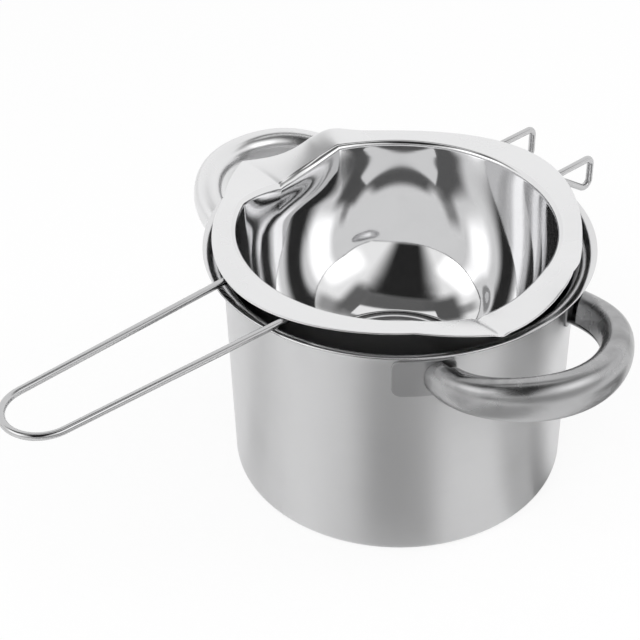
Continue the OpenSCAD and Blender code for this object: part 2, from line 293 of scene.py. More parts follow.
class Nodes:
    """Adds shader nodes to one tree."""

    def __init__(self, tree: NodeTree) -> None:
        """Keeps the tree."""
        self.tree = tree

    def add(self, kind: str, inputs: Inputs | None = None, **settings: object) -> Node:
        """Adds a node.

        Args:
            kind: Blender's name for the node, without its ShaderNode prefix.
            inputs: Values or sockets for its inputs.
            settings: Properties of the node.

        Returns:
            The node.
        """
        node = self.tree.nodes.new("ShaderNode" + kind)
        for key, value in settings.items():
            setattr(node, key, value)
        self.feed(node, inputs or {})
        return node

    def feed(self, node: Node, inputs: Inputs) -> None:
        """Gives a node's inputs their values, or links them to their sockets."""
        for key, value in inputs.items():
            if isinstance(value, NodeSocket):
                self.tree.links.new(value, node.inputs[key])
            else:
                node.inputs[key].default_value = value

    def maths(self, operation: str, *values: NodeSocket | float) -> NodeSocket:
        """Adds a Math node and gives its result."""
        return self.add("Math", dict(enumerate(values)), operation=operation).outputs[0]

    def ranged(
        self,
        value: NodeSocket,
        limits: Sequence[float],
        ends: Sequence[object] = (0.0, 1.0),
        steps: str = "LINEAR",
    ) -> NodeSocket:
        """Adds a Map Range node.

        Args:
            value: What is mapped.
            limits: Its values at the two ends.
            ends: What they become.
            steps: Interpolation.

        Returns:
            The result.
        """
        names = ("Value", "From Min", "From Max", "To Min", "To Max")
        inputs = dict(zip(names, (value, *limits, *ends)))
        return self.add("MapRange", inputs, interpolation_type=steps).outputs["Result"]

    def group(self, name: str, inputs: Inputs) -> Node:
        """Places a shared group with its own values."""
        return self.add("Group", inputs, node_tree=bpy.data.node_groups[name])

    def show(self, share: NodeSocket, first: Node, second: Node) -> None:
        """Makes the mix of two shaders the material's surface."""
        mix = self.add("MixShader", {0: share, 1: first.outputs[0], 2: second.outputs[0]})
        self.feed(self.tree.nodes["Material Output"], {"Surface": mix.outputs[0]})


def new_material(name: str) -> tuple[Material, Nodes]:
    """Starts a material.

    Args:
        name: Its name.

    Returns:
        The material, and its nodes to add to.
    """
    material = bpy.data.materials.new(name)
    material.use_nodes = True
    return material, Nodes(material.node_tree)


class Group(Nodes):
    """A shader node group whose inputs and outputs are numbers."""

    def __init__(self, name: str) -> None:
        """Starts an empty group of that name."""
        super().__init__(bpy.data.node_groups.new(name, "ShaderNodeTree"))
        self.inside = self.tree.nodes.new("NodeGroupInput")
        self.outside = self.tree.nodes.new("NodeGroupOutput")

    def takes(self, name: str) -> NodeSocket:
        """Adds an input and gives its socket inside the group."""
        self.tree.interface.new_socket(name, in_out="INPUT", socket_type="NodeSocketFloat")
        return self.inside.outputs[name]

    def gives(self, name: str, source: NodeSocket) -> None:
        """Adds an output fed by a socket inside the group."""
        self.tree.interface.new_socket(name, in_out="OUTPUT", socket_type="NodeSocketFloat")
        self.tree.links.new(source, self.outside.inputs[name])


def make_brushed_group() -> None:
    """Makes the group for brushing round the Z axis: fine lines in radius and height."""
    group = Group("brushed_round")
    line_scale = group.takes("Line Scale")
    place = group.add("SeparateXYZ", {0: group.add("TexCoord").outputs["Object"]}).outputs
    flat = group.add("CombineXYZ", {"X": place["X"], "Y": place["Y"]}).outputs[0]
    radius = group.add("VectorMath", {0: flat}, operation="LENGTH").outputs["Value"]
    turn = group.add("VectorMath", {0: flat}, operation="NORMALIZE").outputs[0]
    breaks = group.add("VectorMath", {0: turn, "Scale": 3.0}, operation="SCALE").outputs[0]
    lines = group.maths("MULTIPLY", group.maths("ADD", place["Z"], radius), line_scale)
    noise = group.add(
        "TexNoise",
        {"Vector": breaks, "W": lines, "Scale": 1.0, "Detail": 3.0, "Roughness": 0.6},
        noise_dimensions="4D",
    ).outputs["Fac"]
    group.gives("Height", noise)
    group.gives("Mask", group.ranged(noise, (0.35, 0.65)))


def make_marks_and_blotches_group() -> None:
    """Makes the group for marks of handling: cloudy smudges, hairline scratches and an uneven tone, random
    where it is slight and painted dark reflection blotches where a finish sets its dark tone deep.
    """
    group = Group("handling_marks_and_painted_blotches")
    cloud_scale, dark_tone = group.takes("Cloud Scale"), group.takes("Dark Tone")
    place = group.add("TexCoord").outputs["Object"]
    cloud = group.add(
        "TexNoise",
        {"Vector": place, "Scale": cloud_scale, "Detail": 4.0, "Roughness": 0.55, "Distortion": 0.4},
    ).outputs["Fac"]
    bent = group.add("Mapping", {"Vector": place, "Rotation": (0.4, 0.9, 0.3), "Scale": (1.0, 14.0, 1.0)})
    hair = group.add(
        "TexNoise", {"Vector": bent.outputs[0], "Scale": 60.0, "Detail": 2.0, "Roughness": 0.5}
    ).outputs["Fac"]
    group.gives("Smudge", group.ranged(cloud, (0.35, 0.7)))
    group.gives("Scratch", group.ranged(hair, (0.62, 0.74)))
    # Tone darkens the colour in cloudy patches down to the dark tone: a random tone when slight, painted dark
    # reflections when deep, as on the front handle.
    group.gives("Tone", group.ranged(cloud, (0.3, 0.6), (dark_tone, 1.0), "SMOOTHSTEP"))


@dataclass(frozen=True)
class SteelFinish:
    """A finish of stainless steel."""

    name: str
    colour: tuple[float, float, float]
    roughness: float
    smudged: float
    brushing: float = 0.0
    line_scale: float = 900.0
    cloud_scale: float = 25.0
    scratch_depth: float = 0.02
    anisotropy: float = 0.0
    metallic: float = 1.0
    dark_tone: float = 0.97

    @cache
    def material(self) -> Material:
        """Builds the material, once.

        Returns:
            A metal whose roughness and bump come from handling and brushing; its tone varies in cloudy
            patches, which carry painted dark reflections where the dark tone is deep.
        """
        material, nodes = new_material(self.name)
        tones = {"Cloud Scale": self.cloud_scale, "Dark Tone": self.dark_tone}
        marks = nodes.group("handling_marks_and_painted_blotches", tones).outputs
        brushed = nodes.group("brushed_round", {"Line Scale": self.line_scale}).outputs
        tint_inputs = {0: 1.0, 6: (*self.colour, 1.0), 7: marks["Tone"]}
        tint = nodes.add("Mix", tint_inputs, data_type="RGBA", blend_type="MULTIPLY")
        smudges = (self.roughness, self.roughness + self.smudged)
        rough = nodes.ranged(marks["Smudge"], (0.0, 1.0), smudges)
        scratches = nodes.maths("MULTIPLY", marks["Scratch"], -self.scratch_depth)
        relief = nodes.maths("MULTIPLY_ADD", brushed["Height"], self.brushing, scratches)
        bump = nodes.add("Bump", {"Height": relief, "Distance": BUMP_DISTANCE, "Strength": BUMP_STRENGTH})
        metal = nodes.tree.nodes["Principled BSDF"]
        nodes.feed(metal, {
            "Metallic": self.metallic,
            "Base Color": tint.outputs[2],
            "Roughness": nodes.maths("MULTIPLY_ADD", brushed["Mask"], LINE_ROUGHNESS * self.brushing, rough),
            "Normal": bump.outputs["Normal"],
        })
        if self.anisotropy:
            around = nodes.add("Tangent", direction_type="RADIAL", axis="Z").outputs["Tangent"]
            across = {"Anisotropic": self.anisotropy, "Anisotropic Rotation": 0.25, "Tangent": around}
            nodes.feed(metal, across)
        return material


class Finish(Enum):
    """Finishes of this set."""

    SATIN = SteelFinish(
        "satin_steel", (0.72, 0.72, 0.725), 0.40, 0.04, brushing=0.25, line_scale=3200.0, anisotropy=0.95
    )
    # Front handle: the same polished steel as the back one, its colour darkened to 0.46 as painted shade, and
    # its deep cloudy tone (dark tone 0.62) painting dark reflections as blotches.
    POLISHED = SteelFinish(
        "polished_steel",
        (0.46, 0.46, 0.465),
        0.22,
        0.12,
        cloud_scale=38.0,
        scratch_depth=0.003,
        dark_tone=0.62,
    )
    # Back handle: the same polished steel, its colour raised to 0.80 as painted light.
    POLISHED_FAR = SteelFinish("polished_steel_painted_lit", (0.80, 0.80, 0.805), 0.22, 0.10, scratch_depth=0.003)
    MIRROR = SteelFinish("mirror_steel", (0.775, 0.775, 0.78), 0.03, 0.03, metallic=0.985)
    FLANGE = SteelFinish("flange_steel", (0.82, 0.82, 0.825), 0.26, 0.05, scratch_depth=0.01)
    RIM = SteelFinish("rim_steel", (0.74, 0.74, 0.745), 0.16, 0.05)
    # Wires: steel darkened to 0.56 so that the wires' edges come out darker, a painted shade.
    WIRE = SteelFinish("wire_steel", (0.56, 0.56, 0.565), 0.12, 0.05)
    # Handle plates: steel darkened to 0.40 as painted shade, for the dark that the plates reflect.
    PLATE = SteelFinish("plate_steel_painted_shade", (0.40, 0.40, 0.405), 0.3, 0.06, brushing=0.2)


def dress(obj: Object, finish: Finish, second: Finish | None = None, faces: Array | None = None) -> None:
    """Gives a piece its finish.

    Args:
        obj: The piece.
        finish: Its finish.
        second: Finish of some of its faces.
        faces: One value for each face, True where the second finish goes.
    """
    obj.data.materials.clear()
    obj.data.materials.append(finish.value.material())
    if second:
        obj.data.materials.append(second.value.material())
        obj.data.polygons.foreach_set("material_index", faces.astype(np.int32))


# ---- the pot


@dataclass
class PotBody:
    """The pot: one drawn sheet with a flared rim and a flat base."""

    wall_d: float = 144.0
    draft: float = 2.0
    height: float = 107.5
    sheet: float = 0.8
    floor: float = 1.5
    corner: float = 4.5
    rim_reach: float = 8.0
    rim_curve: float = 8.8
    sides: int = 288
    hub: float = 0.6
    base_lift: float = 0.35
    base_flat: float = 58.0
    base_step: float = 1.2
    rim_start: float = 1.0
    flare_limit: float = 0.95

    wall_r: float = field(init=False)
    base_r: float = field(init=False)
    rim_r: float = field(init=False)
    rim_end: float = field(init=False)
    flare_z: float = field(init=False)

    def __post_init__(self) -> None:
        """Works out the sizes that follow from the others."""
        self.wall_r = self.wall_d / 2
        self.base_r = self.wall_r - self.draft / 2
        self.rim_r = self.wall_r + self.rim_reach
        self.rim_end = math.degrees(math.acos(1 - self.rim_reach / self.rim_curve))
        self.flare_z = self.height - (self.rim_curve + self.sheet) * math.sin(math.radians(self.rim_end))

    def wall_at(self, z: Array | float) -> Array | float:
        """Outside radius of the straight wall at a height."""
        return self.base_r + (self.wall_r - self.base_r) * z / self.flare_z

    def skin_at(self, z: Array, gap: float) -> Array:
        """Radius of the outside at a height, a gap away from it.

        Args:
            z: Heights.
            gap: Distance from the steel.

        Returns:
            Radii, on the wall or on the start of the flare.
        """
        rise = np.clip(z - self.flare_z, 0, (self.rim_curve - gap) * self.flare_limit)
        flared = self.wall_r + self.rim_curve - np.sqrt((self.rim_curve - gap) ** 2 - rise**2)
        return np.where(z < self.flare_z, self.wall_at(z) + gap, flared)

    def outline(self) -> list[Point]:
        """Works out the outline of the sheet.

        Returns:
            Points of radius and height, from the base's hub outwards and back down the inside.
        """
        edge = self.sheet / 2
        middle_r = self.rim_curve + edge
        back_off = math.degrees(edge / middle_r)
        end = 180 - self.rim_end + back_off
        centre = self.wall_r + self.rim_curve
        tip = arc(centre, self.flare_z, middle_r, end, end, 1)[0]
        inner_corner = self.corner - self.sheet
        base_edge = self.base_r - self.corner
        lifted, foot = (self.base_flat, self.base_lift), (self.base_flat + self.base_step, 0)
        under = line((self.hub, self.base_lift), lifted, 6) + line(lifted, foot, 3)
        under += line(foot, (base_edge, 0), 2)
        outside = arc(base_edge, self.corner, self.corner, -90, 0, 14)[1:]
        outside += line((self.base_r, self.corner), (self.wall_r, self.flare_z), 24)
        outside += arc(centre, self.flare_z, self.rim_curve, 180, end, 22)[1:]
        lip = arc(tip[0], tip[1], edge, end - 180, end - 360, 8)[1:-1]
        inside = arc(centre, self.flare_z, self.rim_curve + self.sheet, end, 180, 22)
        foot_z = self.corner + self.floor - self.sheet
        inside += line((self.wall_r - self.sheet, self.flare_z), (self.base_r - self.sheet, foot_z), 24)
        inside += arc(base_edge, foot_z, inner_corner, 0, -90, 12)[1:]
        inside += line((base_edge, self.floor), (self.hub, self.floor), 8)
        return [(self.hub, self.base_lift), *under, *outside, *lip, *inside]

    def build(self) -> None:
        """Models and dresses the pot."""
        obj = Workpiece.revolved("pot", self.sides, self.outline())
        smooth_shading(obj)
        dress(obj, Finish.SATIN, Finish.RIM, radii_of(obj) > self.wall_r + self.rim_start)
        mount(obj, "pot", "pot_body")


# ---- handles and plates


@dataclass
class LoopHandle:
    """A loop handle: a tube formed from sheet, its seam open along the inside of the loop."""

    pot: PotBody
    loop_r: float = 36.1
    inset: float = -1.3
    end_h: float = 15.2
    grip_h: float = 18.6
    end_w: float = 12.4
    grip_w: float = 13.24
    sheet: float = 1.2
    seam_gap: float = 1.6
    drop: float = 15.3
    notch: float = 4.0
    rise: float = 4.8
    grip_phi: float = 20.0
    section_power: float = 2.15
    seam_dir: float = 205.0
    plate_stack: float = 1.0
    edge_round: float = 0.3
    sides: int = 96
    steps: int = 150
    reach: float = 107.0
    search: Point = (60.0, 118.0)
    halvings: int = 40

    loop_x: float = field(init=False)
    middle_z: float = field(init=False)
    end_cos: float = field(init=False)
    end_phi: float = field(init=False)
    end_az: float = field(init=False)

    def __post_init__(self) -> None:
        """Works out where the loop meets the pot."""
        self.loop_x = self.pot.wall_r + self.inset
        self.middle_z = self.pot.height - self.drop
        seat = self.pot.wall_at(self.middle_z) + self.plate_stack
        self.end_cos = (seat**2 - self.loop_x**2 - self.loop_r**2) / (2 * self.loop_x * self.loop_r)
        self.end_phi = math.degrees(math.acos(self.end_cos))
        across = self.loop_r * math.sin(math.radians(self.end_phi))
        self.end_az = math.degrees(math.atan2(across, self.loop_x + self.loop_r * self.end_cos))

    def skin(self, phi: Array, direction: Array) -> Array:
        """Points of the tube's outside.

        Args:
            phi: Angles round the loop, in degrees.
            direction: Directions round the section, in degrees.

        Returns:
            Points, one row each, with the loop's middle on the X axis.
        """
        share = smooth((self.end_phi - np.abs(phi)) / (self.end_phi - self.grip_phi))
        half_w = (self.end_w + (self.grip_w - self.end_w) * share) / 2
        half_h = (self.end_h + (self.grip_h - self.end_h) * share) / 2
        turn, round_ = np.radians(phi), np.radians(direction)
        flat = 2 / self.section_power
        out = half_w * np.sign(np.cos(round_)) * np.abs(np.cos(round_)) ** flat
        up = half_h * np.sign(np.sin(round_)) * np.abs(np.sin(round_)) ** flat
        lift = self.rise * smooth((np.cos(turn) - self.end_cos) / (1 - self.end_cos))
        radius = self.loop_r + out
        return np.stack(
            [self.loop_x + radius * np.cos(turn), radius * np.sin(turn), self.middle_z + lift + up], -1
        )

    def strand_end(self, direction: Array) -> Array:
        """Loop angle at which each strand of the tube meets its plate, or its notch.

        Args:
            direction: Directions round the section, in degrees.

        Returns:
            Loop angles, in degrees.
        """
        turned = np.mod(direction, 360)
        notched = (turned > 90) & (turned < self.seam_dir)
        extra = np.where(notched, self.notch, 0.0)
        low, high = (np.full(direction.shape, angle) for angle in self.search)
        for _ in range(self.halvings):
            middle = (low + high) / 2
            points = self.skin(middle, direction)
            seat = self.pot.skin_at(points[:, 2], self.plate_stack) + extra
            beyond = np.hypot(points[:, 0], points[:, 1]) > seat
            low, high = np.where(beyond, middle, low), np.where(beyond, high, middle)
        return low

    def _open_section(self) -> Workpiece:
        """Starts the tube's section at one end of the loop, with one edge taken out for the seam.

        Returns:
            The workpiece, all of it selected.
        """
        start = math.radians(-self.reach)
        centre = (self.loop_x + self.loop_r * math.cos(start), self.loop_r * math.sin(start), self.middle_z)
        turn = (math.pi / 2, 0, start)
        piece = Workpiece.hoop("front_loop_handle", self.sides, self.end_w / 2, centre, turn)
        bpy.ops.mesh.select_all(action="DESELECT")
        mesh = bmesh.from_edit_mesh(piece.obj.data)
        outward = Vector((math.cos(start), math.sin(start), 0))
        below = math.radians(-180 / self.sides)
        for edge in mesh.edges:
            arm = (edge.verts[0].co + edge.verts[1].co) / 2 - Vector(centre) * MM
            angle = math.atan2(arm.z, arm.dot(outward))
            edge.select = abs(angle - below) < math.radians(90 / self.sides)
        bmesh.update_edit_mesh(piece.obj.data)
        bpy.ops.mesh.delete(type="EDGE")
        bpy.ops.mesh.select_all(action="SELECT")
        return piece

    def _form(self, obj: Object) -> None:
        """Gives the spun tube its section, its rise and its cut ends.

        Args:
            obj: The tube.
        """
        points = points_of(obj)
        arm = points[:, :2] - [self.loop_x, 0]
        phi = np.degrees(np.arctan2(arm[:, 1], arm[:, 0]))
        round_ = np.degrees(np.arctan2(points[:, 2] - self.middle_z, np.hypot(*arm.T) - self.loop_r))
        share = np.mod(round_ + WRAP_GUARD, 360) / (360 * (self.sides - 1) / self.sides)
        gap = math.degrees(math.asin(self.seam_gap / (self.grip_h + self.grip_w) * 2))
        direction = self.seam_dir + gap + (360 - 2 * gap) * share
        place_points(obj, self.skin(phi / self.reach * self.strand_end(direction), direction))

    def model(self) -> Object:
        """Models one handle with its loop on the X axis.

        Returns:
            The handle's mesh.
        """
        piece = self._open_section()
        piece.spin(2 * self.reach, (self.loop_x, 0, self.middle_z), (0, 0, 1), self.steps)
        obj = piece.finish()
        self._form(obj)
        apply_modifier(obj, "SOLIDIFY", thickness=self.sheet * MM, offset=-1.0, use_even_offset=True)
        round_edges(obj, self.edge_round)
        smooth_shading(obj)
        return obj

    def build(self) -> None:
        """Models the handle once, turns it to the front and copies it to the back."""
        front = self.model()
        # The front copy gets the darkened steel, painted shade and painted dark reflections.
        dress(front, Finish.POLISHED)
        front.data.transform(Matrix.Rotation(-math.pi / 2, 4, "Z"))
        back = twin(front, "back_loop_handle", Matrix.Rotation(math.pi, 4, "Z"))
        # The back copy gets the brightened steel, painted light.
        dress(back, Finish.POLISHED_FAR)
        mount(front, "pot", "front_handle")
        mount(back, "pot", "back_handle")


@dataclass
class HandlePlates:
    """The plates welded to the wall under the ends of the handles."""

    pot: PotBody
    handle: LoopHandle
    width: float = 24.8
    height: float = 17.0
    sheet: float = 0.9
    corner: float = 4.0
    gap: float = 0.05
    shift: float = 6.2
    edge_round: float = 0.25
    cuts: int = 7
    grid: tuple[int, int] = (36, 24)

    def _chamfered(self) -> Workpiece:
        """Starts a flat grid of the plate's size and cuts its corners round.

        Returns:
            The workpiece.
        """
        deselect_objects()
        across, up = self.grid
        bpy.ops.mesh.primitive_grid_add(x_subdivisions=across, y_subdivisions=up, size=2 * MM)
        bpy.context.active_object.scale = (self.width / 2, self.height / 2, 1)
        piece = Workpiece("plain_pad")
        for sx in (-1, 1):
            for sy in (-1, 1):
                corner = (sx * (self.width / 2 - self.corner), sy * (self.height / 2 - self.corner), 0)
                for cut in range(1, self.cuts):
                    angle = math.radians(90 * cut / self.cuts)
                    away = Vector((sx * math.cos(angle), sy * math.sin(angle), 0))
                    bpy.ops.mesh.select_all(action="SELECT")
                    bpy.ops.mesh.bisect(
                        plane_co=(Vector(corner) + away * self.corner) * MM, plane_no=away, clear_outer=True
                    )
        return piece

    def model(self) -> Object:
        """Models one plate on the +X side of the pot.

        Returns:
            The plate's mesh, bent to the wall and the start of the flare.
        """
        obj = self._chamfered().finish()
        flat = points_of(obj)
        turn = flat[:, 0] / self.pot.wall_r
        z = self.handle.middle_z + flat[:, 1]
        radius = self.pot.skin_at(z, self.gap + self.sheet)
        place_points(obj, np.stack([radius * np.cos(turn), radius * np.sin(turn), z], -1))
        apply_modifier(obj, "SOLIDIFY", thickness=self.sheet * MM, offset=-1.0)
        round_edges(obj, self.edge_round)
        smooth_shading(obj, SOFT_ANGLE)
        return obj

    def build(self) -> None:
        """Models one plate and copies it to the four ends of the handles."""
        first = self.model()
        # The plates get the darkened steel: painted shade.
        dress(first, Finish.PLATE)
        offset = self.handle.end_az + math.degrees(self.shift / self.pot.wall_r)
        places = {
            "front_left": -90 - offset,
            "front_right": -90 + offset,
            "back_left": 90 + offset,
            "back_right": 90 - offset,
        }
        for name, azimuth in places.items():
            turned = Matrix.Rotation(math.radians(azimuth), 4, "Z")
            mount(twin(first, name + "_pad", turned), "pot", name + "_plate")
        bpy.data.objects.remove(first)


# ---- the bowl


def by_spout(a: Array, near: float | Array, far: float | Array) -> Array:
    """Near spout's value on its half of the bowl, and the far spout's on the other half."""
    return np.where(a > 180, near, far)


@dataclass
class BowlPlace:
    """Where the loose bowl lies on the pot."""

    shift_x: float = 2.0
    shift_y: float = 4.0
    turn: float = 2.3
    flange_z: float = 111.65
    wire_z: float = 109.3

    def matrix(self, height: float) -> Matrix:
        """Matrix in metres from the bowl's own frame at a height to the pot's frame."""
        move = Matrix.Translation(Vector((self.shift_x, self.shift_y, height)) * MM)
        return move @ Matrix.Rotation(math.radians(self.turn), 4, "Z")


@dataclass
class MeltingBowl:
    """The bowl: a drawn sheet with a wide flange and two creased pouring spouts."""

    place: BowlPlace
    inside_r: float = 65.0
    depth: float = 70.0
    straight: float = 5.0
    base_r: float = 34.6
    wall_power: float = 2.4
    sheet: float = 0.8
    bend: float = 2.0
    flange_w: float = 9.3
    handle_tab: float = 4.0
    hook_tab: float = 7.0
    tab_power: float = 8.0
    near_spout: float = 75.0
    far_spout: float = 81.0
    near_reach: float = 8.0
    far_reach: float = 9.7
    dip_in: float = 6.5
    draw: float = 3.0
    dip_tip: float = 1.7
    flank_dip: float = 1.6
    flank_short: float = 24.0
    near_long: float = 33.0
    far_long: float = 30.0
    near_flank: float = 0.9
    far_flank: float = 3.0
    ridge_h: float = 2.6
    ridge_reach: float = 3.0
    ridge_width: float = 14.0
    press_fade: float = 26.0
    crease_power: float = 1.45
    trough_power: float = 2.2
    trough_end: float = 0.75
    short_power: float = 1.2
    gather_span: float = 12.0
    gather_power: float = 1.8
    near_pinch: float = 1.6
    far_pinch: float = 0.3
    pinch_width: float = 1.5
    pinch_fade: float = 0.45
    sides: int = 360
    hub: float = 0.6
    flange_rows: int = 26

    def _from_spout(self, a: Array) -> Array:
        """Angle from the nearer spout's crease, more than 0 towards the hooks."""
        return by_spout(a, a - 180 - self.near_spout, 180 - self.far_spout - a)

    def _flank_long(self, a: Array) -> Array:
        """Angle that the long flank takes at the spout nearer to an angle."""
        return by_spout(a, self.near_long, self.far_long)

    def _dip_share(self, a: Array) -> Array:
        """How much of the bowl's edge is pressed, 1 at a crease."""
        d = self._from_spout(a)
        return np.where(
            d < 0, ramp(1 + d / self.flank_short, 1), 1 - ramp(d / self._flank_long(a), self.trough_power)
        )

    def _tip_share(self, a: Array) -> Array:
        """Works out the share of the spout's reach.

        Args:
            a: Angles round the bowl.

        Returns:
            Shares, 1 at a tip.
        """
        d = self._from_spout(a)
        power = by_spout(a, self.near_flank, self.far_flank)
        return np.where(
            d < 0,
            ramp(1 + d / self.flank_short, self.short_power),
            np.clip(1 - d / self._flank_long(a), 0, 1) ** power,
        )

    def _edge_dip(self, a: Array) -> Array:
        """Works out how far the flange's outer edge is pressed down.

        Args:
            a: Angles round the bowl.

        Returns:
            Depths.
        """
        d = self._from_spout(a)
        t = d / (self._flank_long(a) * self.trough_end)
        trough = self.dip_tip * (1 - t) + self.flank_dip * np.sin(np.pi * t)
        short = self.dip_tip * ramp(1 + d / self.flank_short, 1)
        return np.where(d < 0, short, np.where(t < 1, trough, 0))

    def _ridge_share(self, a: Array, spread: float) -> Array:
        """Bump where the long flank meets the flange, 1 at its middle."""
        return np.exp(-(((self._from_spout(a) - self._flank_long(a)) / spread) ** 2))

    def _gather(self, a: Array) -> Array:
        """Moves the rows of vertices closer to both creases, so that they come out crisp.

        Args:
            a: Angles round the bowl.

        Returns:
            Their new angles.
        """
        d = self._from_spout(a) / self.gather_span
        side = by_spout(a, 1.0, -1.0)
        crease = by_spout(a, 180 + self.near_spout, 180 - self.far_spout)
        drawn = crease + side * self.gather_span * np.sign(d) * np.abs(d) ** self.gather_power
        return np.where(np.abs(d) < 1, drawn, a)

    def _pinch(self, a: Array, t: Array) -> Array:
        """Depth of the sharp pinch that runs along each crease, deepest at the bowl's edge."""
        depth = by_spout(a, self.near_pinch, self.far_pinch)
        return depth * np.exp(-((self._from_spout(a) / self.pinch_width) ** 2)) * (1 - self.pinch_fade * t)

    def flange_r(self, a: Array) -> Array:
        """Outer radius of the flange at an angle round the bowl."""
        tab = np.where(np.cos(np.radians(a)) > 0, self.hook_tab, self.handle_tab)
        return (
            self.inside_r
            + self.flange_w
            + tab * np.abs(np.cos(np.radians(a))) ** self.tab_power
            + by_spout(a, self.near_reach, self.far_reach) * self._tip_share(a)
            + self.ridge_reach * self._ridge_share(a, self.ridge_width)
        )

    def _wall(self, depth: float, steps: int = 72) -> list[Point]:
        """Works out the section of the round wall.

        Args:
            depth: Distance outside the bowl's inside.
            steps: Number of points on its curve.

        Returns:
            Points of radius and height, from the flat bottom up.
        """
        share = 2 / self.wall_power
        base_dir = math.acos((self.base_r / self.inside_r) ** (1 / share))
        half_h = (self.depth + depth - self.straight) / math.sin(base_dir) ** share
        lower = [
            ((self.inside_r + depth) * math.cos(t) ** share, -half_h * math.sin(t) ** share - self.straight)
            for t in np.linspace(base_dir, 0, steps)
        ]
        return lower + line(lower[-1], (self.inside_r + depth, -self.bend), 8)

    def outline(self) -> list[Point]:
        """Works out the section of the plain bowl.

        Returns:
            Points of radius and height, up the inside, out to the flange's edge and back underneath.
        """
        edge = self.sheet / 2
        plain = self.inside_r + self.flange_w
        under_bend = self.bend - self.sheet
        inside = line((self.hub, -self.depth), self._wall(0)[0], 8)[:-1] + self._wall(0)
        inside += arc(self.inside_r + self.bend, -self.bend, self.bend, 180, 90, 10)[1:]
        inside += line((self.inside_r + self.bend, 0), (plain - edge, 0), self.flange_rows)
        lip = arc(plain - edge, -edge, edge, 90, -90, 8)[1:]
        under = line((plain - edge, -self.sheet), (self.inside_r + self.bend, -self.sheet), self.flange_rows)
        under += arc(self.inside_r + self.bend, -self.bend, under_bend, 90, 180, 8)[1:]
        under += self._wall(self.sheet, 40)[::-1][1:]
        floor = -self.depth - self.sheet
        return [
            (self.hub, -self.depth), *inside, *lip, *under, *line(under[-1], (self.hub, floor), 8)
        ]

    def _press(self, obj: Object) -> None:
        """Presses the spouts, tabs and ridges into the plain bowl.

        Args:
            obj: The bowl.
        """
        points = points_of(obj)
        radius = np.hypot(points[:, 0], points[:, 1])
        angle = self._gather(np.mod(np.degrees(np.arctan2(points[:, 1], points[:, 0])), 360))
        height = points[:, 2]
        edge_r = self.flange_r(angle)
        start = self.inside_r + self.bend
        plain = self.inside_r + self.flange_w
        share = (radius - start) / (plain - start)
        radius = np.where((share > 0) & (height > -self.bend), start + (edge_r - start) * share, radius)
        t = np.clip((radius - self.inside_r) / (edge_r - self.inside_r), 0, 1)
        fade = smooth(1 + height / self.press_fade)
        dip_share = self._dip_share(angle)
        dip = (1 - t) ** self.crease_power * self.dip_in * dip_share + t * self._edge_dip(angle)
        lift = t * self.ridge_h * self._ridge_share(angle, self.ridge_width / 2)
        radius = radius - fade * (1 - t) * self.draw * dip_share
        pinch = self._pinch(angle, t) * (1 - np.clip(-height / self.bend, 0, 1))
        height = height + fade * (lift - dip - pinch)
        turn = np.radians(angle)
        place_points(obj, np.stack([radius * np.cos(turn), radius * np.sin(turn), height], -1))

    def build(self) -> None:
        """Models and dresses the bowl."""
        obj = Workpiece.revolved("melting_bowl_shell", self.sides, self.outline())
        flat = radii_of(obj) > self.inside_r + self.bend
        self._press(obj)
        obj.data.transform(self.place.matrix(self.place.flange_z))
        smooth_shading(obj, SOFT_ANGLE)
        dress(obj, Finish.MIRROR, Finish.FLANGE, flat)
        mount(obj, "bowl", "melting_bowl")


# ---- wires


WIRE_SIDES = 24
END_ROUND = 0.4
END_ANGLE = 60.0
BEND_STEPS = 8
BEND_STEP_ANGLE = 5.0
BEND_FIT = 0.99999


class WireRun:
    """A round wire that follows straight runs and round bends in one plane."""

    def __init__(self, name: str, radius: float, corners: Sequence[Point], bends: Sequence[float]) -> None:
        """Lays the wire along a path in the XY plane.

        Args:
            name: Name of the finished piece.
            radius: Radius of the wire.
            corners: Corners of its middle line.
            bends: Bend radius at each inner corner.
        """
        self.path = [Vector((*c, 0)) for c in corners]
        ahead = (self.path[1] - self.path[0]).normalized()
        turn = (math.pi / 2, 0, math.atan2(ahead.y, ahead.x) + math.pi / 2)
        self.piece = Workpiece.hoop(name, WIRE_SIDES, radius, self.path[0], turn)
        here = self.path[0]
        for i, bend in enumerate(bends, start=1):
            here = self._corner(here, i, bend)
        self.piece.extrude(self.path[-1] - here)

    def _corner(self, here: Vector, i: int, bend: float) -> Vector:
        """Runs straight to a corner's bend and round it.

        Args:
            here: Where the wire has got to.
            i: Number of the corner.
            bend: Radius of its bend.

        Returns:
            Where the bend ends.
        """
        ahead = (self.path[i] - self.path[i - 1]).normalized()
        after = (self.path[i + 1] - self.path[i]).normalized()
        turn = math.atan2(ahead.cross(after).z, ahead.dot(after))
        cut = bend * math.tan(abs(turn) / 2)
        start = self.path[i] - ahead * cut
        side = Vector((-ahead.y, ahead.x, 0)) * math.copysign(bend, turn)
        self.piece.extrude(start - here)
        degrees = math.degrees(turn)
        steps = max(BEND_STEPS, round(abs(degrees) / BEND_STEP_ANGLE))
        self.piece.spin(degrees, start + side, (0, 0, 1), steps)
        return self.path[i] + after * cut

    def finish(self) -> Object:
        """Closes both ends with a rounded edge.

        Returns:
            The wire's mesh.
        """
        bpy.ops.mesh.select_all(action="DESELECT")
        bpy.ops.mesh.select_non_manifold()
        bpy.ops.mesh.edge_face_add()
        obj = self.piece.finish()
        round_edges(obj, END_ROUND, END_ANGLE)
        smooth_shading(obj)
        return obj


